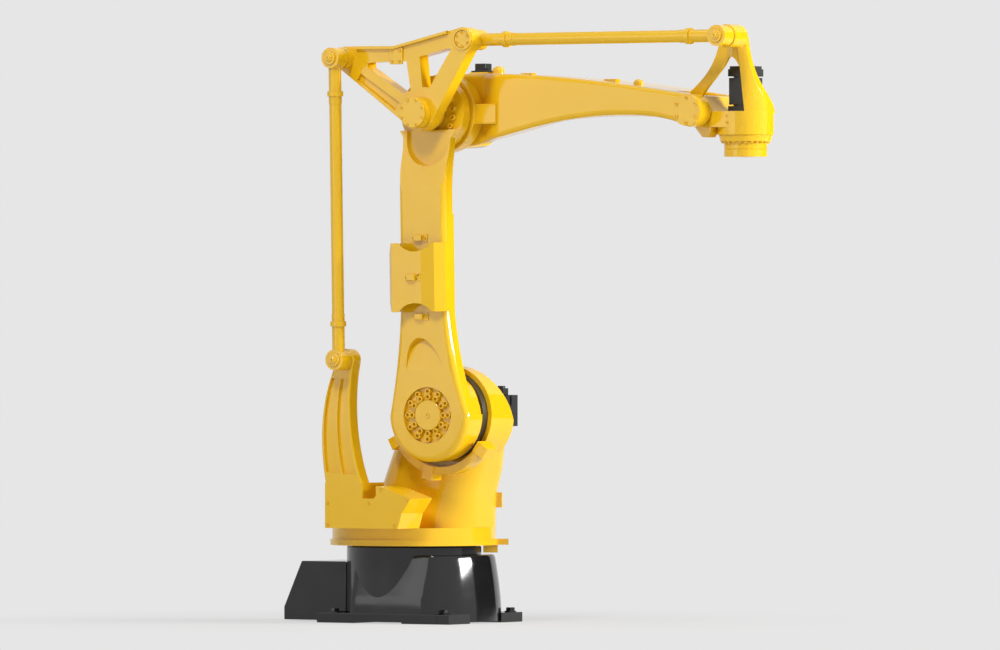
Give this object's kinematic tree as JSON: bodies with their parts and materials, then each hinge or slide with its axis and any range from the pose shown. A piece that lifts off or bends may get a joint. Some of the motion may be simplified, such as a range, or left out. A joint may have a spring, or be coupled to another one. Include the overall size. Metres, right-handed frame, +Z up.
{
  "type": "palletising robot arm",
  "caption": "Floor-standing palletising robot arm: slewing column, leaning lower arm, lifting upper arm and a parallel linkage that keeps the turning tool flange level.",
  "frame": {"origin": "on the floor, under the slewing axis", "axes": "+X forward along the arm, +Z up along the slewing axis, the linkage on the -Y side"},
  "size_m": [2.301, 0.8786, 2.4808],
  "materials": {
    "yellow_enamel": "glossy yellow enamel on castings",
    "black_enamel": "glossy black enamel on the pedestal casting",
    "black_plastic": "satin black motor housings and plugs",
    "bearing_steel": "ground steel at the bearings"
  },
  "bodies": {
    "base": {"pedestal": "black_enamel", "plug_box": "black_enamel", "plug_panel": "black_plastic", "slew_bearing": "bearing_steel"},
    "turret": {"turntable": "yellow_enamel", "column": "yellow_enamel", "lean_stops": "yellow_enamel", "shoulder_reducer": "bearing_steel", "shoulder_motor": "black_plastic", "shoulder_plug": "black_plastic", "link_bracket": "yellow_enamel", "horn_pin": "yellow_enamel"},
    "lower_arm": {"lower_arm": "yellow_enamel", "shoulder_hub": "yellow_enamel", "dress_cover": "yellow_enamel", "cable_clips": "yellow_enamel", "rear_cover": "yellow_enamel", "elbow_stub": "bearing_steel"},
    "rear_rod": {"rear_rod": "yellow_enamel", "rear_rod_eyes": "yellow_enamel"},
    "triangle": {"link_triangle": "yellow_enamel", "triangle_clamp": "yellow_enamel", "triangle_caps": "yellow_enamel", "triangle_pins": "yellow_enamel"},
    "top_rod": {"top_rod": "yellow_enamel", "top_rod_eyes": "yellow_enamel"},
    "upper_arm": {"upper_arm": "yellow_enamel", "elbow_flange": "yellow_enamel", "elbow_motor": "black_plastic", "elbow_plug": "black_plastic", "fork_covers": "yellow_enamel", "wrist_pin": "bearing_steel"},
    "wrist": {"wrist_housing": "yellow_enamel", "wrist_frame": "yellow_enamel", "wrist_top_pin": "yellow_enamel", "wrist_motor": "black_plastic", "wrist_motor_plug": "black_plastic", "wrist_ring": "yellow_enamel"},
    "tool": {"tool_flange": "yellow_enamel"}
  },
  "joints": [
    {"name": "slew", "type": "hinge", "parent": "base", "child": "turret", "pos_m": [0, 0, 0.325], "axis": [0, 0, 1], "range_deg": [-170, 170]},
    {"name": "lean", "type": "hinge", "parent": "turret", "child": "lower_arm", "pos_m": [0.3, 0, 0.872], "axis": [0, 1, 0], "range_deg": [-30, 60]},
    {"name": "rear_rod_swing", "type": "hinge", "parent": "turret", "child": "rear_rod", "pos_m": [-0.062, 0, 1.102], "axis": [0, 1, 0], "range_deg": [-30, 60]},
    {"name": "triangle_level", "type": "hinge", "parent": "lower_arm", "child": "triangle", "pos_m": [0.28, 0, 2.129], "axis": [0, 1, 0], "range_deg": [-60, 30]},
    {"name": "lift", "type": "hinge", "parent": "triangle", "child": "upper_arm", "pos_m": [0.28, 0, 2.129], "axis": [0, -1, 0], "range_deg": [-40, 12]},
    {"name": "top_rod_swing", "type": "hinge", "parent": "triangle", "child": "top_rod", "pos_m": [0.5, 0, 2.431], "axis": [0, -1, 0], "range_deg": [-40, 12]},
    {"name": "wrist_level", "type": "hinge", "parent": "upper_arm", "child": "wrist", "pos_m": [1.467, 0, 2.129], "axis": [0, -1, 0], "range_deg": [-12, 40]},
    {"name": "tool_turn", "type": "hinge", "parent": "wrist", "child": "tool", "pos_m": [1.627, 0, 1.939], "axis": [0, 0, 1], "range_deg": [-180, 180]}
  ],
  "couplings": [
    {"joint": "rear_rod_swing", "follows": "lean", "ratio": 1},
    {"joint": "triangle_level", "follows": "lean", "ratio": -1},
    {"joint": "top_rod_swing", "follows": "lift", "ratio": 1},
    {"joint": "wrist_level", "follows": "lift", "ratio": -1}
  ]
}
